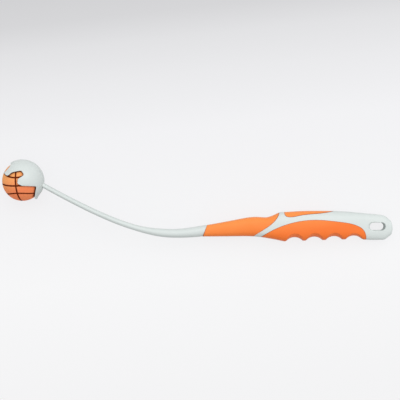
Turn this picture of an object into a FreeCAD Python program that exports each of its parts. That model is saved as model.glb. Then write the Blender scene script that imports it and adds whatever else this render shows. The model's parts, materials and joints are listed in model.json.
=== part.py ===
import FreeCAD, Part
import math
import os

# A hand-held thrower for a dog's ball, lying on its side: a scalloped cup that grips the ball, a
# thin curved arm, and a sculpted handle with three soft rubber areas and a hole to hang it by.
#
# The pieces are drawn with the centre of the ball as zero, X from the ball towards the handle, Y
# from the finger side of the handle towards its thumb side, and Z square to the plane that the
# thrower is swung in. Both sides of that plane are alike. At the end everything is moved so that
# zero is the middle of the footprint, on the surface that the thrower lies on.

# Ball
ball_diameter = 50.8
ball_wall = 4.5
seam_width = 1.9
seam_depth = 0.9
seam_recess = 0.2
side_seam_angle = 23.6
side_seam_spread = 34.6
ball_turn = 1.3
ball_tip = -8.4
ball_roll = 15.2

# Cup. Its reaches and depths are measured from the middle of the ball, along the way it leaves
ball_clearance = 0.3
cup_wall = 1.9
lip_curl_radius = 24.0
rim_chamfer = 0.4
opening_angle = 231.5
finger_reach = 4.7
lobe_reach = 3.8
tongue_reach = 7.0
side_notch_depth = 12.0
shoulder_depth = 7.4
top_notch_depth = 9.2
top_notch_width = 24.4
top_notch_corner = 7.0

# Arm: where it leaves the cup and which way, and how it comes into the handle
arm_root_angle = -9.8
arm_root_slope = -29.0
arm_root_pull = 140.0
arm_end_slope = 9.7
arm_end_pull = 66.4
arm_root_thickness = 6.0
arm_root_width = 13.0
arm_waist_thickness = 7.1
arm_waist_width = 12.0
arm_neck_thickness = 10.2
arm_neck_width = 13.6
arm_end_thickness = 13.9
arm_end_width = 16.8
arm_roundness = 2.2

# Handle: the middle of its front end, seen from the ball
handle_x = 233.5
handle_y = -63.5
collar_slant = 20.0
rubber_thickness = 2.5

# Finger grooves
finger_count = 4
finger_pitch = 25.3
finger_groove_depth = 5.0
finger_ridge_radius = 4.0
finger_line_tilt = 1.6
finger_ring_radius = 20.0
first_ridge_x = 101.0
guard_depth = 13.8

# Hanging hole
hole_length = 20.2
hole_height = 10.0
hole_chamfer = 0.8
hole_x = 219.7
hole_y = 5.5

# Handle sections, front to back: distance behind the front end, how far the thumb side stands
# above the handle's middle, how far the finger side lies below it, and the thickness across
handle_sections = [
    (-8.0, 5.6, 7.5, 17.4),
    (6.5, 7.9, 7.5, 18.5),
    (22.5, 10.8, 7.4, 20.5),
    (40.5, 14.2, 7.2, 23.0),
    (0.57 * first_ridge_x, 17.2, 7.2, 25.0),
    (first_ridge_x - 31.5, 17.5, 8.0, 26.0),
    (first_ridge_x - 21.0, 17.3, 9.6, 26.6),
    (first_ridge_x - 13.0, 20.0, 11.0, 27.0),
    (first_ridge_x - 5.5, 23.2, 12.5, 27.4),
    (first_ridge_x + 1.0, 23.9, guard_depth, 27.6),
    (121.5, 25.0, 13.2, 28.0),
    (147.5, 25.3, 12.2, 28.0),
    (172.5, 24.8, 11.4, 26.8),
    (187.5, 23.8, 11.2, 24.0),
    (202.5, 22.4, 11.4, 19.5),
    (214.5, 21.2, 11.8, 16.2),
    (224.5, 20.2, 11.7, 15.2),
    (231.2, 18.0, 10.4, 14.6),
    (236.0, 13.9, 6.6, 13.6),
    (238.5, 9.3, 2.9, 11.5),
    (239.3, 5.2, -0.9, 8.5),
]
handle_roundness = 2.7
points_round = 16

# Edges of the rubber areas on the side of the handle, as distance behind its front end and height
# above its middle
sleeve_edge = [(96.0, 29.5), (89.9, 13.9), (75.5, 2.0), (58.5, -9.5)]
grip_edge = [
    (65.5, -12.0),
    (82.3, -0.7),
    (107.5, 9.5),
    (138.5, 14.0),
    (170.5, 11.5),
    (191.5, 7.3),
    (201.5, 1.0),
    (205.3, -8.5),
    (205.5, -17.0),
]
strip_edge = [
    (170.5, 26.5),
    (146.1, 22.0),
    (120.2, 19.2),
    (107.5, 17.3),
    (102.1, 18.9),
    (100.7, 23.0),
    (100.7, 29.5),
]

# Worked out from the sizes above
ball_radius = ball_diameter / 2
cup_bore = ball_radius + ball_clearance
cup_radius = cup_bore + cup_wall
last_ridge_x = first_ridge_x + finger_count * finger_pitch

# How far a cutting shape runs past what it cuts, across one surface and across a whole piece, and
# how far a piece is drawn past the face that trims it
past_surface = 0.3
past_piece = 3 * cup_radius
past_trim = 1.0


def point(x, y, z=0.0):
    return FreeCAD.Vector(x, y, z)


def handle_point(x, y, z=0.0):
    """A point given from the middle of the handle's front end."""
    return point(handle_x + x, handle_y + y, z)


def spline(points):
    """A smooth open edge through the points."""
    curve = Part.BSplineCurve()
    curve.interpolate(points)
    return curve.toShape()


def lines(points):
    """Straight edges from each point to the next."""
    return [Part.makeLine(a, b) for a, b in zip(points, points[1:])]


def rounded_outline(corners):
    """A closed wire of straight edges, where each corner is (point, radius of its rounding)."""
    count = len(corners)
    arcs = []
    for index, (corner, radius) in enumerate(corners):
        before = corners[index - 1][0].sub(corner).normalize()
        after = corners[(index + 1) % count][0].sub(corner).normalize()
        half = before.getAngle(after) / 2
        middle = FreeCAD.Vector(before).add(after).normalize()
        first = corner.add(before.multiply(radius / math.tan(half)))
        last = corner.add(after.multiply(radius / math.tan(half)))
        crest = corner.add(middle.multiply(radius / math.sin(half) - radius))
        arcs.append((first, crest, last))
    edges = []
    for index, (first, crest, last) in enumerate(arcs):
        if corners[index][1] > 0:
            edges.append(Part.Arc(first, crest, last).toShape())
        edges.append(Part.makeLine(last, arcs[(index + 1) % count][0]))
    return Part.Wire(edges)


def through_z(wire, half_depth=past_piece):
    """The prism that a flat outline in the XY plane sweeps, to both sides of that plane."""
    face = Part.Face(wire)
    face.translate(point(0, 0, -half_depth))
    return face.extrude(point(0, 0, 2 * half_depth))


def oval(middle, up, half_height, half_width, roundness):
    """Points round a closed rounded section, with its height along up and its width along Z."""
    points = []
    for step in range(points_round):
        angle = 2 * math.pi * step / points_round
        high = math.copysign(abs(math.cos(angle)) ** (2 / roundness), math.cos(angle))
        wide = math.copysign(abs(math.sin(angle)) ** (2 / roundness), math.sin(angle))
        offset = FreeCAD.Vector(up).multiply(half_height * high)
        points.append(middle.add(offset).add(point(0, 0, half_width * wide)))
    return points


def skin(sections, stations):
    """The solid inside a smooth surface through the sections, which lie at the given distances
    along it, closed by a flat face at each end."""
    shares = [step / points_round for step in range(points_round + 1)]
    rings = []
    for section in sections:
        ring = Part.BSplineCurve()
        ring.interpolate(Points=section, PeriodicFlag=True, Parameters=shares)
        rings.append(ring)
    columns = []
    for row in zip(*[ring.getPoles() for ring in rings]):
        column = Part.BSplineCurve()
        column.interpolate(Points=list(row), Parameters=stations)
        columns.append(column)
    ring = rings[0]
    column = columns[0]
    surface = Part.BSplineSurface()
    surface.buildFromPolesMultsKnots(
        [column.getPoles() for column in columns],
        ring.getMultiplicities(),
        column.getMultiplicities(),
        ring.getKnots(),
        column.getKnots(),
        True,
        False,
        ring.Degree,
        column.Degree,
    )
    front = Part.Face(Part.Wire([rings[0].toShape()]))
    back = Part.Face(Part.Wire([rings[-1].toShape()]))
    shell = Part.makeShell([surface.toShape(), front, back])
    shell.sewShape()
    return Part.makeSolid(shell)


def ball_frame():
    """How the ball lies in the cup: its middle seam runs along its own X, its cross seam along Y."""
    return FreeCAD.Placement(point(0, 0), FreeCAD.Rotation(ball_turn, ball_tip, ball_roll))


def elliptic_cone(cross_angle, spread_angle, low, high):
    """A cone about the ball's own Y, from the height low to high, whose wall stands at cross_angle
    from the middle seam where the cross seam passes, and at spread_angle a quarter turn on."""
    rings = []
    for height in (low, high):
        along_z = height / math.tan(math.radians(cross_angle))
        along_x = height / math.tan(math.radians(spread_angle))
        ring = Part.Ellipse(point(0, 0), along_z, along_x).toShape()
        ring.rotate(point(0, 0), point(0, 0, 1), 90)
        ring.rotate(point(0, 0), point(1, 0, 0), 90)
        ring.translate(point(0, height))
        rings.append(Part.Wire([ring]))
    return Part.makeLoft(rings, True, True)


def seam_walls():
    """Everything within half a seam's width of the ball's seams, inside and outside the ball."""
    half_angle = math.degrees(seam_width / 2 / ball_radius)
    reach = 1.2 * ball_radius
    middle = Part.makeBox(2 * reach, seam_width, 2 * reach, point(-reach, -seam_width / 2, -reach))
    cross = Part.makeBox(seam_width, 2 * reach, 2 * reach, point(-seam_width / 2, -reach, -reach))
    low = 0.2 * ball_radius
    high = 0.8 * ball_radius
    outer = elliptic_cone(side_seam_angle - half_angle, side_seam_spread - half_angle, low, high)
    inner = elliptic_cone(side_seam_angle + half_angle, side_seam_spread + half_angle, low, high)
    upper = outer.cut(inner)
    lower = upper.mirror(point(0, 0), point(0, 1, 0))
    return middle.fuse([cross, upper, lower])


def make_ball():
    """The hollow rubber ball with its seam channels, and the dark rubber that fills them."""
    walls = seam_walls()
    outside = Part.makeSphere(ball_radius)
    channel_floor = Part.makeSphere(ball_radius - seam_depth)
    seam_top = Part.makeSphere(ball_radius - seam_recess)
    shell = outside.cut(Part.makeSphere(ball_radius - ball_wall))
    shell = shell.cut(walls.common(outside.cut(channel_floor)))
    seams = walls.common(seam_top.cut(channel_floor))
    shell.Placement = ball_frame()
    seams.Placement = ball_frame()
    return shell, seams


def rim_outline():
    """The cup's rim seen from the side, with X along the way that the ball leaves and Y towards
    the tongue, which lies against the arm's side. It goes round everything that is cut away: past
    the finger, the side notch, the lobe, the shoulder and the tongue. The heights are shares of
    the cup's radius, so that they follow the ball."""
    above = -1.5
    below = 1.5
    rim = [
        (past_piece, above, 0),
        (finger_reach, above, 0),
        (finger_reach, -0.525, 3.2),
        (-0.2 * side_notch_depth, -0.485, 9.0),
        (-side_notch_depth, -0.19, 3.4),
        (-0.84 * side_notch_depth, 0.05, 2.2),
        (-0.12 * side_notch_depth, -0.05, 2.5),
        (lobe_reach, 0.06, 2.8),
        (0.55 * lobe_reach, 0.295, 5.0),
        (-shoulder_depth, 0.757, 1.4),
        (tongue_reach, 0.985, 1.6),
        (tongue_reach, below, 0),
        (past_piece, below, 0),
    ]
    return rounded_outline([(point(along, share * cup_radius), radius) for along, share, radius in rim])


def top_notch():
    """The U-shaped gap between the two upper fingers, along the way that the ball leaves."""
    half = top_notch_width / 2
    wire = rounded_outline([
        (point(past_piece, -half), 0),
        (point(-top_notch_depth, -half), top_notch_corner),
        (point(-top_notch_depth, half), top_notch_corner),
        (point(past_piece, half), 0),
    ])
    face = Part.Face(wire)
    face.rotate(point(0, 0), point(1, 0, 0), 90)
    return face.extrude(point(0, -past_piece))


def on_outside(face):
    """Whether a face of the cup, drawn about X, belongs to its outer skin."""
    surface = face.Surface
    if isinstance(surface, Part.Sphere):
        return abs(surface.Radius - cup_radius) < 0.001
    return isinstance(surface, Part.Toroid) and abs(surface.MinorRadius - lip_curl_radius) < 0.001


def rim_edges(cup):
    """The edges where the cup's outer skin meets its cut rim."""
    edges = []
    for edge in cup.Edges:
        if not edge.Degenerated:
            faces = cup.ancestorsOfType(edge, Part.Face)
            if len([face for face in faces if on_outside(face)]) == 1:
                edges.append(edge)
    return edges


def make_cup():
    """A round bowl whose wall curls outwards past the middle of the ball, so that the ball comes
    free as it leaves, and the scalloped rim cut from it."""
    curl_middle = point(0, cup_radius + lip_curl_radius)
    curl_angle = math.asin((tongue_reach + past_trim) / lip_curl_radius)

    def bowl_arc(radius):
        slant = radius * math.sqrt(0.5)
        return Part.Arc(point(-radius, 0), point(-slant, slant), point(0, radius)).toShape()

    def curl_point(radius, share):
        turn = share * curl_angle
        return curl_middle.add(point(radius * math.sin(turn), -radius * math.cos(turn)))

    def curl_arc(radius):
        return Part.Arc(*[curl_point(radius, share) for share in (0, 0.5, 1)]).toShape()

    inner_curl = lip_curl_radius + cup_wall
    profile = [
        bowl_arc(cup_radius),
        curl_arc(lip_curl_radius),
        Part.makeLine(curl_point(lip_curl_radius, 1), curl_point(inner_curl, 1)),
        curl_arc(inner_curl),
        bowl_arc(cup_bore),
        Part.makeLine(point(-cup_bore, 0), point(-cup_radius, 0)),
    ]
    bowl = Part.Face(Part.Wire(Part.sortEdges(profile)[0])).revolve(point(0, 0), point(1, 0, 0), 360)
    cup = bowl.cut(through_z(rim_outline())).cut(top_notch())
    cup = cup.makeChamfer(min(rim_chamfer, 0.5 * cup_wall), rim_edges(cup))
    cup.rotate(point(0, 0), point(0, 0, 1), opening_angle)
    return cup


def collar_face():
    """Everything behind the slanted plane where the arm ends and the handle begins."""
    lean = math.radians(collar_slant)
    along = point(math.sin(lean), math.cos(lean)).multiply(past_piece)
    back = point(5 * past_piece, 0)
    low = point(handle_x, handle_y).sub(along)
    high = point(handle_x, handle_y).add(along)
    return through_z(Part.makePolygon([low, high, high.add(back), low.add(back), low]))


def arm_path():
    """The middle line of the arm. It starts inside the cup and ends inside the handle, whose faces
    then trim the arm."""
    root_angle = math.radians(arm_root_angle)
    root_slope = math.radians(arm_root_slope)
    end_slope = math.radians(arm_end_slope)
    inside = ball_radius - past_trim
    start = point(inside * math.cos(root_angle), inside * math.sin(root_angle))
    run_on = 0.8 * arm_end_thickness
    end = point(handle_x + run_on, handle_y + run_on * math.tan(end_slope))
    leave = point(math.cos(root_slope), math.sin(root_slope)).multiply(arm_root_pull)
    arrive = point(math.cos(end_slope), math.sin(end_slope)).multiply(arm_end_pull)
    curve = Part.BezierCurve()
    curve.setPoles([start, start.add(leave), end.sub(arrive), end])
    return curve


def between(first, second, share):
    """The size that lies a share of the way from the first to the second."""
    return first + share * (second - first)


def make_arm():
    """The arm, drawn through ovals square to its middle line. It is thinnest in the swing plane
    near the cup, narrowest across at its waist, and thickens at the neck before the handle."""
    stations = [
        (0.0, arm_root_thickness, arm_root_width),
        (0.15, between(arm_root_thickness, arm_waist_thickness, 0.5),
         between(arm_root_width, arm_waist_width, 0.5)),
        (0.36, arm_waist_thickness, arm_waist_width),
        (0.48, between(arm_waist_thickness, arm_neck_thickness, 0.23), arm_waist_width),
        (0.61, arm_neck_thickness, arm_neck_width),
        (0.75, between(arm_neck_thickness, arm_end_thickness, 0.3),
         between(arm_neck_width, arm_end_width, 0.5)),
        (0.88, between(arm_neck_thickness, arm_end_thickness, 0.8), arm_end_width),
        (1.0, arm_end_thickness, arm_end_width),
    ]
    path = arm_path()
    rings = []
    for share, thickness, width in stations:
        tangent = path.tangent(share)[0]
        up = point(-tangent.y, tangent.x)
        rings.append(oval(path.value(share), up, thickness / 2, width / 2, arm_roundness))
    arm = skin(rings, [share for share, thickness, width in stations])
    return arm.cut(Part.makeSphere(cup_radius)).cut(collar_face())


def handle_body(inset):
    """The handle drawn through its sections, or its core when inset is the rubber's thickness.
    Under the finger grooves the core lies a groove's depth deeper."""
    rings = []
    stations = []
    for x, above, below, thickness in handle_sections:
        if inset > 0 and x > last_ridge_x + finger_pitch / 2:
            break
        floor = inset
        if inset > 0 and first_ridge_x < x < last_ridge_x:
            floor = inset + finger_groove_depth
        top = above - inset
        bottom = -below + floor
        middle = handle_point(x, (top + bottom) / 2)
        half_width = thickness / 2 - inset
        rings.append(oval(middle, point(0, 1), (top - bottom) / 2, half_width, handle_roundness))
        stations.append(x)
    return skin(rings, stations)


def finger_cutter():
    """A wave of finger grooves and ridges turned about a line inside the handle. Each groove is
    deepest at the bottom and runs out on the handle's sides."""
    ridge_y = -finger_ring_radius - finger_groove_depth
    half_pitch = finger_pitch / 2
    groove_radius = (half_pitch ** 2 + finger_groove_depth ** 2) / (2 * finger_groove_depth)
    share = finger_ridge_radius / groove_radius
    joint_x = share * half_pitch
    joint_y = ridge_y + share * finger_groove_depth
    lean = math.asin(half_pitch / groove_radius) / 2
    crest_x = finger_ridge_radius * math.sin(lean)
    crest_y = ridge_y + finger_ridge_radius * (1 - math.cos(lean))
    edges = []
    for index in range(finger_count):
        ridge = index * finger_pitch
        following = ridge + finger_pitch
        start = point(ridge, ridge_y)
        rise = point(ridge + joint_x, joint_y)
        bottom = point(ridge + half_pitch, -finger_ring_radius)
        fall = point(following - joint_x, joint_y)
        end = point(following, ridge_y)
        edges.append(Part.Arc(start, point(ridge + crest_x, crest_y), rise).toShape())
        edges.append(Part.Arc(rise, bottom, fall).toShape())
        edges.append(Part.Arc(fall, point(following - crest_x, crest_y), end).toShape())
    length = finger_count * finger_pitch
    corners = [(length, ridge_y), (length, -past_piece), (0, -past_piece), (0, ridge_y)]
    edges += lines([point(x, y) for x, y in corners])
    face = Part.Face(Part.Wire(edges))
    face.rotate(point(0, 0), point(1, 0, 0), 90)
    cutter = face.revolve(point(0, 0), point(1, 0, 0), -180)
    cutter.rotate(point(0, 0), point(0, 0, 1), finger_line_tilt)
    cutter.translate(handle_point(first_ridge_x, -guard_depth - ridge_y))
    return cutter


def section_thickness(x):
    """The handle's thickness at a distance behind its front end."""
    for first, second in zip(handle_sections, handle_sections[1:]):
        if first[0] <= x <= second[0]:
            share = (x - first[0]) / (second[0] - first[0])
            return between(first[3], second[3], share)
    return handle_sections[-1][3]


def hanging_hole():
    """A long round-ended hole with a chamfer at each face, along Z."""

    def slot(grow, z):
        half = hole_height / 2 + grow
        straight = (hole_length - hole_height) / 2
        right = handle_point(hole_x + straight, hole_y, z)
        left = handle_point(hole_x - straight, hole_y, z)
        down, up, out = point(0, -half), point(0, half), point(half, 0)
        return Part.Wire([
            Part.makeLine(left.add(down), right.add(down)),
            Part.Arc(right.add(down), right.add(out), right.add(up)).toShape(),
            Part.makeLine(right.add(up), left.add(up)),
            Part.Arc(left.add(up), left.sub(out), left.add(down)).toShape(),
        ])

    face_z = section_thickness(hole_x) / 2
    deep = hole_chamfer + past_surface
    flare = Part.makeLoft([slot(0, face_z - deep), slot(2 * deep, face_z + deep)], True, True)
    return through_z(slot(0, 0)).fuse([flare, flare.mirror(point(0, 0), point(0, 0, 1))])


def region(edge_points, closing_points):
    """The prism over an area of the handle's side, bounded by a smooth edge and straight lines."""
    edge = [handle_point(x, y) for x, y in edge_points]
    closing = [edge[-1]] + [handle_point(x, y) for x, y in closing_points] + [edge[0]]
    return through_z(Part.Wire([spline(edge)] + lines(closing)))


def make_handle():
    """The white core and the three rubber pieces moulded over it, flush with each other. Every
    rubber piece fills a pocket of the core that is one rubber thickness deep."""
    outside = handle_body(0).common(collar_face())
    outside = outside.cut(finger_cutter()).cut(hanging_hole())
    inside = handle_body(rubber_thickness)
    high = past_piece
    sleeve_area = region(sleeve_edge, [(-high, -high), (-high, high), (sleeve_edge[0][0], high)])
    grip_area = region(grip_edge, [(grip_edge[-1][0], -high), (grip_edge[0][0], -high)])
    strip_area = region(strip_edge, [(strip_edge[-1][0], high), (strip_edge[0][0], high)])
    sleeve = outside.common(sleeve_area).cut(inside)
    grip = outside.common(grip_area).cut(inside)
    strip = outside.common(strip_area).cut(inside)
    core = outside.cut([sleeve, grip, strip])
    return core, sleeve, grip, strip


def main():
    ball_shell, ball_seams = make_ball()
    handle_core, front_sleeve, finger_grip, top_strip = make_handle()
    pieces = {
        "ball_cup": make_cup(),
        "shaft": make_arm(),
        "handle_core": handle_core,
        "front_sleeve": front_sleeve,
        "finger_grip": finger_grip,
        "top_strip": top_strip,
        "ball_shell": ball_shell,
        "ball_seams": ball_seams,
    }
    box = Part.makeCompound(list(pieces.values())).optimalBoundingBox()
    move = point(-box.Center.x, -box.Center.y, -box.ZMin)
    os.makedirs("parts", exist_ok=True)
    for name, shape in pieces.items():
        solid = shape.Solids[0].copy()
        solid.translate(move)
        solid.exportStep("parts/" + name + ".step")
        print(name, "solids", len(shape.Solids), "valid", solid.isValid(), "volume", round(solid.Volume, 1))
    print("ball's middle at", move)
    print("size", box.XLength, box.YLength, box.ZLength)


main()
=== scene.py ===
import bmesh
import bpy
import json
import math
from mathutils import Matrix, Vector


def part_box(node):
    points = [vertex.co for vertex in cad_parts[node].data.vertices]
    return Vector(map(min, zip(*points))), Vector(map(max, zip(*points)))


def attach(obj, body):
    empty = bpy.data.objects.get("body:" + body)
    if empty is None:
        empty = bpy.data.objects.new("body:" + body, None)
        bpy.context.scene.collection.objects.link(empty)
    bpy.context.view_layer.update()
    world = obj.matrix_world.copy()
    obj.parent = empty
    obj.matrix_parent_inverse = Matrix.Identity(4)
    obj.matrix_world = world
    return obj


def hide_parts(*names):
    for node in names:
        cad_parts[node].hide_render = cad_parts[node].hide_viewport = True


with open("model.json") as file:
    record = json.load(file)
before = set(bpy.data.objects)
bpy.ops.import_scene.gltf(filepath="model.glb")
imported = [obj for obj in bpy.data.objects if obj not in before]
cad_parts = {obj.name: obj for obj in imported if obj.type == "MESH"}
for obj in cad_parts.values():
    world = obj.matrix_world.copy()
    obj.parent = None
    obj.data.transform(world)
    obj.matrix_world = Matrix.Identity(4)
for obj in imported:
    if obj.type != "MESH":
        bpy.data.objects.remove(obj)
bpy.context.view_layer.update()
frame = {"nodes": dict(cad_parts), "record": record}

# A hand-held thrower for a dog's ball, lying on its side. The plane that it is swung in is level,
# halfway up the ball, and the photograph looks straight down on it.
mm = 0.001
ball_low, ball_high = [Vector(corner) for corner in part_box("ball_shell")]
cup_low = Vector(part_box("ball_cup")[0])
ball_middle = (ball_low + ball_high) / 2
ball_radius = (ball_high.z - ball_low.z) / 2
swing_plane = ball_middle.z

# How the ball lies in the cup, turned about X, then Y, then Z, and its seams: the middle seam goes
# round it at right angles to the cross seam, and the two side seams bow away from the middle seam.
# Each bead has seam_steps points along it and bead_sides round it.
ball_turned = [math.radians(angle) for angle in (15.2, -8.4, 1.3)]
side_seam_angle = math.radians(23.6)
side_seam_spread = math.radians(34.6)
seam_width = 1.9 * mm
seam_height = 0.8 * mm
seam_sunk = 0.1 * mm
seam_steps = 160
bead_sides = 16

# The gap between the cup's two upper fingers, as wide as the band beside them in the photograph
# suggests: its middle is the swing plane, and it is measured from the ball's middle along the way
# that the ball leaves.
leaving_turn = math.radians(231.5)
notch_width = 35.6 * mm
notch_depth = 9.2 * mm
notch_corner = 7.0 * mm
notch_reach = 80 * mm
corner_steps = 10

# How close together two corners of the cup's mesh count as one, and past which turn an edge of it
# stays sharp
merge_reach = 0.001 * mm
sharp_turn = math.radians(30)

# Where the handle touches the floor, and how far below the swing plane
handle_rest_x = 0.180
handle_rest_depth = 0.0136

# What every moulded finish shares: how far apart the slow waves lie that a wall takes as it
# shrinks, how many patches of dull and bright lie along one cloud of colour, and how much duller
# and brighter they are, how far the painted light slope, lighter on the lit side and darker on the
# shaded side, rules over the clouds, how widely the bloom spreads, and how high the parting ridge
# stands for its half width.
wave_length = 22 * mm
patches_per_cloud = 4
duller = 0.05
brighter = 0.04
painted_light_weight = 0.7
bloom_spread = 0.35
ridge_height_share = 0.3

# The painted edge tone, a painted highlight on white plastic and painted shade on the rubbers, is
# full where the cosine between a face and the mean of the faces near it falls to the first value,
# and ends at the second. Painted shade where another piece stands close is full where no more than
# the first share of the sky is open, and ends at the second. Rays, soft_samples of them, feel out both.
painted_edge_full, painted_edge_none = 0.82, 0.98
shade_full, shade_none = 0.45, 0.95
soft_samples = 8


def linear(colour):
    """The linear RGBA of an sRGB hex colour."""
    parts = [int(colour[place:place + 2], 16) / 255 for place in (1, 3, 5)]
    lit = [part / 12.92 if part <= 0.04045 else ((part + 0.055) / 1.055) ** 2.4 for part in parts]
    return lit + [1.0]


def link(name, data):
    """A new object at the origin for a mesh, a lamp or a camera."""
    made = bpy.data.objects.new(name, data)
    bpy.context.scene.collection.objects.link(made)
    return made


def emptied_tree(owner):
    """The node tree of a new material or world, with nothing in it yet."""
    owner.use_nodes = True
    owner.node_tree.nodes.clear()
    return owner.node_tree


def add(tree, kind, inputs=None, **settings):
    """Adds a node with its settings. An input that is a socket is linked, and any other is set."""
    made = tree.nodes.new(kind)
    for name, value in settings.items():
        setattr(made, name, value)
    for key, value in (inputs or {}).items():
        if isinstance(value, bpy.types.NodeSocket):
            tree.links.new(value, made.inputs[key])
        else:
            made.inputs[key].default_value = value
    return made


def moulded(name, tones, drift, rough, ior, shine, bloom, grain, waves, edge, painted_contact_shade, painted_light_slope=None,
            parting=0.0):
    """A moulded finish. Two near tones drift into each other, the mould's spark-eroded grain and the
    slow waves of shrinkage roughen the light, edges are softened and take a painted light of their
    own, a painted highlight on white plastic and painted shade on the rubbers, painted shade darkens
    the tone where another piece stands close, and a fine ridge runs where the two halves of the mould
    met, in the plane that the thrower is swung in. A painted light slope, where it is given, turns the
    first tone into the second along a direction, from one distance to another, as a lit side and a
    shaded side. The grain is drawn several times as coarse as a real mould's, so that it shows at all."""
    grain_size, grain_depth = grain
    edge_radius, edge_reach, painted_edge_tone = edge
    contact_reach, painted_shade_tone = painted_contact_shade
    material = bpy.data.materials.new(name)
    tree = emptied_tree(material)
    place = add(tree, "ShaderNodeTexCoord").outputs["Object"]
    face = add(tree, "ShaderNodeNewGeometry").outputs["Normal"]

    clouds = add(tree, "ShaderNodeTexNoise", {"Vector": place, "Scale": 1 / drift, "Detail": 3.0})
    share = clouds.outputs["Fac"]
    # Painted light and shade: along the given direction the first tone turns into the second, lighter on
    # the lit side and darker on the shaded side.
    if painted_light_slope:
        direction, first, last = painted_light_slope
        along = add(tree, "ShaderNodeVectorMath", {0: place, 1: direction}, operation="DOT_PRODUCT")
        painted_light_ramp = add(tree, "ShaderNodeMapRange", {
            "Value": along.outputs["Value"], "From Min": first, "From Max": last})
        mixed = add(tree, "ShaderNodeMix", {0: painted_light_weight, 2: share, 3: painted_light_ramp.outputs["Result"]})
        share = mixed.outputs[0]
    drifted = add(tree, "ShaderNodeMix", {0: share, 6: linear(tones[0]), 7: linear(tones[1])},
                  data_type="RGBA")

    # Painted light at edges: a tone of their own, a painted highlight on white plastic and painted shade
    # on the rubbers.
    near_edges = add(tree, "ShaderNodeBevel", {"Radius": edge_reach}, samples=soft_samples)
    turned = add(tree, "ShaderNodeVectorMath", {0: near_edges.outputs["Normal"], 1: face},
                 operation="DOT_PRODUCT")
    painted_edge_mask = add(tree, "ShaderNodeMapRange", {
        "Value": turned.outputs["Value"], "From Min": painted_edge_full, "From Max": painted_edge_none,
        "To Min": 1.0, "To Max": 0.0})
    painted_edge_mix = add(tree, "ShaderNodeMix", {
        0: painted_edge_mask.outputs["Result"], 6: drifted.outputs[2], 7: linear(painted_edge_tone)}, data_type="RGBA")

    # Painted shade: the tone darkens where another piece stands close and closes off the sky.
    open_sky = add(tree, "ShaderNodeAmbientOcclusion", {"Distance": contact_reach},
                   samples=soft_samples)
    painted_shade_mask = add(tree, "ShaderNodeMapRange", {
        "Value": open_sky.outputs["AO"], "From Min": shade_full, "From Max": shade_none,
        "To Min": 1.0, "To Max": 0.0})
    tone = add(tree, "ShaderNodeMix", {
        0: painted_shade_mask.outputs["Result"], 6: painted_edge_mix.outputs[2], 7: linear(painted_shade_tone)}, data_type="RGBA")

    patches = add(tree, "ShaderNodeTexNoise", {
        "Vector": place, "Scale": patches_per_cloud / drift, "Detail": 4.0})
    dull = add(tree, "ShaderNodeMapRange", {
        "Value": patches.outputs["Fac"], "From Min": 0.3, "From Max": 0.7,
        "To Min": rough - brighter, "To Max": rough + duller})

    soft_edges = add(tree, "ShaderNodeBevel", {"Radius": edge_radius}, samples=soft_samples)
    shrinkage = add(tree, "ShaderNodeTexNoise", {
        "Vector": place, "Scale": 1 / wave_length, "Detail": 1.0})
    waved = add(tree, "ShaderNodeBump", {
        "Height": shrinkage.outputs["Fac"], "Distance": waves, "Normal": soft_edges.outputs["Normal"]})
    sparks = add(tree, "ShaderNodeTexNoise", {"Vector": place, "Scale": 1 / grain_size, "Detail": 2.0})
    grained = add(tree, "ShaderNodeBump", {
        "Height": sparks.outputs["Fac"], "Distance": grain_depth, "Normal": waved.outputs["Normal"]})
    normal = grained.outputs["Normal"]
    if parting:
        height = add(tree, "ShaderNodeSeparateXYZ", {"Vector": place}).outputs["Z"]
        above = add(tree, "ShaderNodeMath", {0: height, 1: swing_plane}, operation="SUBTRACT")
        away = add(tree, "ShaderNodeMath", {0: above.outputs[0]}, operation="ABSOLUTE")
        ridge = add(tree, "ShaderNodeMapRange", {
            "Value": away.outputs[0], "From Min": 0.0, "From Max": parting,
            "To Min": 1.0, "To Max": 0.0}, interpolation_type="SMOOTHSTEP")
        ridged = add(tree, "ShaderNodeBump", {
            "Height": ridge.outputs["Result"], "Distance": ridge_height_share * parting,
            "Normal": normal})
        normal = ridged.outputs["Normal"]

    shader = add(tree, "ShaderNodeBsdfPrincipled", {
        "Base Color": tone.outputs[2], "Roughness": dull.outputs["Result"], "IOR": ior,
        "Specular IOR Level": shine, "Sheen Weight": bloom, "Sheen Roughness": bloom_spread,
        "Normal": normal})
    add(tree, "ShaderNodeOutputMaterial", {"Surface": shader.outputs["BSDF"]})
    return material


# Injection-moulded polypropylene, off-white: a satin skin, cool in tone, that light sinks into a
# little, so its shades are soft and its highlights are broad. Its rounded rims catch the light, and a
# painted highlight lightens them further, and painted shade darkens it where another piece stands
# close.
white_polypropylene = moulded(
    "white_moulded_polypropylene", tones=("#DCE3E1", "#D5DDDB"), drift=60 * mm,
    rough=0.38, ior=1.49, shine=0.5, bloom=0.0, grain=(0.5 * mm, 0.012 * mm), waves=0.06 * mm,
    edge=(0.6 * mm, 0.8 * mm, "#F0F4F2"), painted_contact_shade=(0.6 * mm, "#B9B3AC"), parting=0.25 * mm)

# Thermoplastic rubber moulded over the handle, orange: a dry, matt skin from a spark-eroded mould,
# with a pale bloom where it is seen aslant. It is painted yellower over the front and along the back,
# a painted light, and redder down in the finger grooves and along the underside, a painted shade,
# and painted shade darkens it along its borders, where it meets the white core, and where another
# piece stands close.
orange_rubber = moulded(
    "orange_overmoulded_rubber", tones=("#FF9E4C", "#FC7220"), drift=40 * mm,
    rough=0.58, ior=1.50, shine=0.4, bloom=0.30, grain=(0.45 * mm, 0.03 * mm), waves=0.05 * mm,
    edge=(0.5 * mm, 2.0 * mm, "#A04416"), painted_contact_shade=(0.8 * mm, "#C8602A"),
    painted_light_slope=((0.15, -1.0, 0.0), 0.030, 0.060), parting=0.25 * mm)

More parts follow.
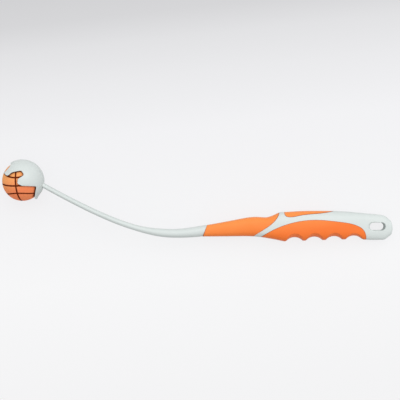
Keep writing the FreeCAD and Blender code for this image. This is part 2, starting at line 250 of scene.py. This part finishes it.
# Vulcanised natural rubber, light orange: a matt ball with faint clouds, painted yellower on the
# side that the light falls on and redder where the cup shades it, as painted light and shade, and
# painted dark along its channels' edges and where the cup's rim lies close to it, as painted shade.
ball_rubber = moulded(
    "orange_vulcanised_ball_rubber", tones=("#FFB66E", "#FF8A5C"), drift=18 * mm,
    rough=0.7, ior=1.52, shine=0.12, bloom=0.0, grain=(0.6 * mm, 0.04 * mm), waves=0.1 * mm,
    edge=(0.3 * mm, 0.5 * mm, "#B0561E"), painted_contact_shade=(4.0 * mm, "#6E2C0C"),
    painted_light_slope=((0.35, -0.94, 0.0), -0.112, -0.090))

# Dark brown rubber run into the ball's channels: dull, with painted shade that makes it nearly black
# where it lies deep and darker along its edges.
seam_rubber = moulded(
    "brown_seam_rubber", tones=("#7A2A02", "#641E02"), drift=10 * mm,
    rough=0.75, ior=1.52, shine=0.1, bloom=0.0, grain=(0.5 * mm, 0.03 * mm), waves=0.02 * mm,
    edge=(0.2 * mm, 0.3 * mm, "#4A1402"), painted_contact_shade=(1.0 * mm, "#380E02"))

finishes = {
    "white_plastic": white_polypropylene,
    "orange_rubber": orange_rubber,
    "ball_rubber": ball_rubber,
    "seam_rubber": seam_rubber,
}


def finish_packed_pieces():
    """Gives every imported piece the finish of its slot."""
    for part in frame["record"]["subparts"]:
        mesh = frame["nodes"][part["node"]].data
        mesh.materials.clear()
        mesh.materials.append(finishes[part["material_slot"]])


def seam_bead_tree(finish):
    """The dark rubber of the ball's seams: an oval bead swept along four curves on the ball."""
    tree = bpy.data.node_groups.new("ball_seam_beads", "GeometryNodeTree")
    tree.interface.new_socket("Geometry", in_out="OUTPUT", socket_type="NodeSocketGeometry")
    for name in ("Ball Radius", "Bead Width", "Bead Height", "Bead Depth", "Cross Reach",
                 "Spread Reach"):
        tree.interface.new_socket(name, in_out="INPUT", socket_type="NodeSocketFloat")
    sizes = add(tree, "NodeGroupInput").outputs

    # Each seam starts as a circle. The X and Y of a point of it are stretched into a direction from
    # the ball's middle, and the seam passes at the beads' depth in that direction.
    circle = add(tree, "GeometryNodeCurvePrimitiveCircle", {"Resolution": seam_steps, "Radius": 1.0})
    spot = add(tree, "ShaderNodeSeparateXYZ", {0: add(tree, "GeometryNodeInputPosition").outputs[0]})
    level = add(tree, "ShaderNodeMath", {0: sizes["Ball Radius"], 1: sizes["Bead Depth"]},
                operation="SUBTRACT")
    wide_x = add(tree, "ShaderNodeMath", {0: spot.outputs["X"], 1: sizes["Spread Reach"]},
                 operation="MULTIPLY")
    wide_z = add(tree, "ShaderNodeMath", {0: spot.outputs["Y"], 1: sizes["Cross Reach"]},
                 operation="MULTIPLY")
    ways = {
        "middle": {"X": spot.outputs["X"], "Z": spot.outputs["Y"]},
        "cross": {"Y": spot.outputs["X"], "Z": spot.outputs["Y"]},
        "finger_side": {"X": wide_x.outputs[0], "Y": 1.0, "Z": wide_z.outputs[0]},
        "thumb_side": {"X": wide_x.outputs[0], "Y": -1.0, "Z": wide_z.outputs[0]},
    }
    seams = add(tree, "GeometryNodeJoinGeometry")
    for way in ways.values():
        stretched = add(tree, "ShaderNodeCombineXYZ", way)
        direction = add(tree, "ShaderNodeVectorMath", {0: stretched.outputs[0]}, operation="NORMALIZE")
        on_ball = add(tree, "ShaderNodeVectorMath", {0: direction.outputs[0], "Scale": level.outputs[0]},
                      operation="SCALE")
        seam = add(tree, "GeometryNodeSetPosition", {
            "Geometry": circle.outputs["Curve"], "Position": on_ball.outputs[0]})
        tree.links.new(seam.outputs["Geometry"], seams.inputs["Geometry"])

    outward = add(tree, "ShaderNodeVectorMath", {0: add(tree, "GeometryNodeInputPosition").outputs[0]},
                  operation="NORMALIZE")
    upright = add(tree, "GeometryNodeSetCurveNormal", {
        "Curve": seams.outputs["Geometry"], "Normal": outward.outputs[0]}, mode="FREE")
    bead = add(tree, "GeometryNodeCurvePrimitiveCircle", {"Resolution": bead_sides, "Radius": 0.5})
    crown = add(tree, "ShaderNodeCombineXYZ", {
        "X": sizes["Bead Height"], "Y": sizes["Bead Width"], "Z": 1.0})
    oval = add(tree, "GeometryNodeTransform", {
        "Geometry": bead.outputs["Curve"], "Scale": crown.outputs[0]})
    swept = add(tree, "GeometryNodeCurveToMesh", {
        "Curve": upright.outputs["Curve"], "Profile Curve": oval.outputs["Geometry"]})
    smooth = add(tree, "GeometryNodeSetShadeSmooth", {"Geometry": swept.outputs["Mesh"]})
    lying = add(tree, "GeometryNodeTransform", {
        "Geometry": smooth.outputs["Geometry"], "Translation": ball_middle, "Rotation": ball_turned})
    real = add(tree, "GeometryNodeRealizeInstances", {"Geometry": lying.outputs["Geometry"]})
    done = add(tree, "GeometryNodeSetMaterial", {"Geometry": real.outputs["Geometry"], "Material": finish})
    add(tree, "NodeGroupOutput", {"Geometry": done.outputs["Geometry"]})
    return tree


def plain_mesh(name, tree, sizes):
    """The result of a Geometry Nodes tree, with its inputs set by name, as an object of its own."""
    carrier = link(name + "_carrier", bpy.data.meshes.new(name + "_carrier"))
    nodes = carrier.modifiers.new("shape", "NODES")
    nodes.node_group = tree
    for socket in tree.interface.items_tree:
        if socket.in_out == "INPUT":
            nodes[socket.identifier] = sizes[socket.name]
    evaluated = carrier.evaluated_get(bpy.context.evaluated_depsgraph_get())
    mesh = bpy.data.meshes.new_from_object(evaluated)
    bpy.data.objects.remove(carrier)
    return link(name, mesh)


def make_seam_beads():
    """Crowned beads of dark rubber in the ball's channels, in place of the plain filled ones."""
    beads = plain_mesh("ball_seam_beads", seam_bead_tree(seam_rubber), {
        "Ball Radius": ball_radius,
        "Bead Width": seam_width,
        "Bead Height": seam_height,
        "Bead Depth": seam_sunk + seam_height / 2,
        "Cross Reach": 1 / math.tan(side_seam_angle),
        "Spread Reach": 1 / math.tan(side_seam_spread),
    })
    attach(beads, "ball")
    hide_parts("ball_seams")


def notch_cutter():
    """A U-shaped prism that runs from the ball's middle through the wall between the fingers."""
    half = notch_width / 2
    outline = [(notch_reach, -half)]
    for side in (-1, 1):
        for step in range(corner_steps + 1):
            turn = math.pi / 2 * (step if side < 0 else corner_steps - step) / corner_steps
            along = -notch_depth + notch_corner * (1 - math.sin(turn))
            across = half - notch_corner * (1 - math.cos(turn))
            outline.append((along, side * across))
    outline.append((notch_reach, half))
    shape = bmesh.new()
    wall = shape.faces.new([shape.verts.new((along, 0, across)) for along, across in outline])
    pulled = bmesh.ops.extrude_face_region(shape, geom=[wall])
    corners = [item for item in pulled["geom"] if isinstance(item, bmesh.types.BMVert)]
    bmesh.ops.translate(shape, verts=corners, vec=(0, -notch_reach, 0))
    bmesh.ops.recalc_face_normals(shape, faces=shape.faces)
    lie = Matrix.Translation(ball_middle) @ Matrix.Rotation(leaving_turn, 4, "Z")
    bmesh.ops.transform(shape, verts=shape.verts, matrix=lie)
    mesh = bpy.data.meshes.new("notch_cutter")
    shape.to_mesh(mesh)
    shape.free()
    return link("notch_cutter", mesh)


def make_cup():
    """The cup with the wide gap between its upper fingers, through which the ball's edge shows."""
    shape = bmesh.new()
    shape.from_mesh(frame["nodes"]["ball_cup"].data)
    bmesh.ops.remove_doubles(shape, verts=shape.verts, dist=merge_reach)
    mesh = bpy.data.meshes.new("uncut_cup")
    shape.to_mesh(mesh)
    shape.free()
    uncut = link("uncut_cup", mesh)
    cutter = notch_cutter()
    cut = uncut.modifiers.new("notch", "BOOLEAN")
    cut.operation = "DIFFERENCE"
    cut.solver = "EXACT"
    cut.object = cutter
    evaluated = uncut.evaluated_get(bpy.context.evaluated_depsgraph_get())
    whole = bpy.data.meshes.new_from_object(evaluated)
    bpy.data.objects.remove(uncut)
    bpy.data.objects.remove(cutter)
    whole.materials.clear()
    whole.materials.append(white_polypropylene)
    whole.shade_smooth()
    whole.set_sharp_from_angle(angle=sharp_turn)
    cup = link("cup_moulding", whole)
    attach(cup, "wand")
    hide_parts("ball_cup")


def pale_paper():
    """Matt pale paper, with painted shade that makes it a shade darker at the far end, as the
    photograph's background is. Most of what the camera sees of it is its own even light, so that the
    thrower's shade on it is faint."""
    far_way = (-0.1, 1.0, 0.0)
    near_end, far_end = -0.6, 0.6
    own_light = 0.87
    thrown_back_tone = "#D2D2D2"
    stops = ((0.29, "#F4F4F5"), (0.42, "#F7F7F8"), (0.58, "#F2F2F4"), (0.64, "#EAEAEC"),
             (0.68, "#E2E2E4"), (0.71, "#D6D6D8"), (0.80, "#C8C8CA"))
    material = bpy.data.materials.new("pale_matt_paper")
    tree = emptied_tree(material)
    place = add(tree, "ShaderNodeTexCoord").outputs["Object"]
    far = add(tree, "ShaderNodeVectorMath", {0: place, 1: far_way}, operation="DOT_PRODUCT")
    share = add(tree, "ShaderNodeMapRange", {
        "Value": far.outputs["Value"], "From Min": near_end, "From Max": far_end,
        "To Min": 0.0, "To Max": 1.0})
    # Painted shade: the paper's tone darkens towards the far end.
    tone = add(tree, "ShaderNodeValToRGB", {"Fac": share.outputs["Result"]})
    ramp = tone.color_ramp
    ramp.elements[0].color = linear("#F0F0F1")
    ramp.elements[1].color = linear("#C4C4C6")
    for at, colour in stops:
        ramp.elements.new(at).color = linear(colour)
    seen = add(tree, "ShaderNodeLightPath").outputs["Is Camera Ray"]
    thrown_back = add(tree, "ShaderNodeMix", {
        0: seen, 6: linear(thrown_back_tone), 7: tone.outputs["Color"]}, data_type="RGBA")
    paper = add(tree, "ShaderNodeBsdfDiffuse", {"Color": thrown_back.outputs[2]})
    glow = add(tree, "ShaderNodeEmission", {"Color": tone.outputs["Color"], "Strength": 1.0})
    most = add(tree, "ShaderNodeMath", {0: seen, 1: own_light}, operation="MULTIPLY")
    look = add(tree, "ShaderNodeMixShader", {
        0: most.outputs[0], 1: paper.outputs["BSDF"], 2: glow.outputs["Emission"]})
    add(tree, "ShaderNodeOutputMaterial", {"Surface": look.outputs["Shader"]})
    return material


def make_floor():
    """A plain floor that touches the cup and the handle, so it rises a little to the right."""
    cup_depth = swing_plane - cup_low.z
    rise = math.asin((cup_depth - handle_rest_depth) / (handle_rest_x - ball_middle.x))
    reach = 6.0
    corners = []
    for x, y in ((-reach, -reach), (reach, -reach), (reach, reach), (-reach, reach)):
        z = swing_plane - cup_depth / math.cos(rise) + (x - ball_middle.x) * math.tan(rise)
        corners.append((x, y, z))
    mesh = bpy.data.meshes.new("floor")
    mesh.from_pydata(corners, [], [(0, 1, 2, 3)])
    mesh.materials.append(pale_paper())
    link("floor", mesh)


def make_sky():
    """A bright ceiling that dims towards the horizon, most of all on the near side."""
    bright_way = (0.15, 0.35, 1.0)
    low_end, high_end = -0.3, 1.0
    low_strength, high_strength = 0.28, 0.99
    world = bpy.data.worlds.new("studio")
    tree = emptied_tree(world)
    way = add(tree, "ShaderNodeTexCoord").outputs["Generated"]
    height = add(tree, "ShaderNodeVectorMath", {0: way, 1: bright_way}, operation="DOT_PRODUCT")
    level = add(tree, "ShaderNodeMapRange", {
        "Value": height.outputs["Value"], "From Min": low_end, "From Max": high_end,
        "To Min": low_strength, "To Max": high_strength})
    glow = add(tree, "ShaderNodeBackground", {
        "Color": linear("#FFFFFF"), "Strength": level.outputs["Result"]})
    add(tree, "ShaderNodeOutputWorld", {"Surface": glow.outputs["Background"]})
    bpy.context.scene.world = world


def make_lamp():
    """One large soft lamp beyond the far side of the handle, turned to the middle of the floor."""
    place = Vector((0.4, 1.0, 1.8))
    data = bpy.data.lights.new("soft_lamp", "AREA")
    data.shape = "SQUARE"
    data.size = 1.8
    data.energy = 13.0
    lamp = link("soft_lamp", data)
    lamp.location = place
    lamp.rotation_euler = (-place).to_track_quat("-Z", "Y").to_euler()


def make_camera():
    """Straight above the thrower, with the handle to the right. The distance is from the camera to
    the swing plane, and half_width is half of what it sees of that plane."""
    distance = 1.1
    half_width = 0.256
    middle_x, middle_y = 3.5 * mm, 0.52 * mm
    data = bpy.data.cameras.new("camera")
    data.sensor_fit = "HORIZONTAL"
    data.sensor_width = 36.0
    data.lens = data.sensor_width * distance / (2 * half_width)
    data.clip_start = 0.01
    data.clip_end = 50.0
    camera = link("camera", data)
    camera.location = (middle_x, middle_y, swing_plane + distance)
    bpy.context.scene.camera = camera


finish_packed_pieces()
make_cup()
make_seam_beads()
make_floor()
make_sky()
make_lamp()
make_camera()
bpy.context.scene.view_settings.view_transform = "Standard"
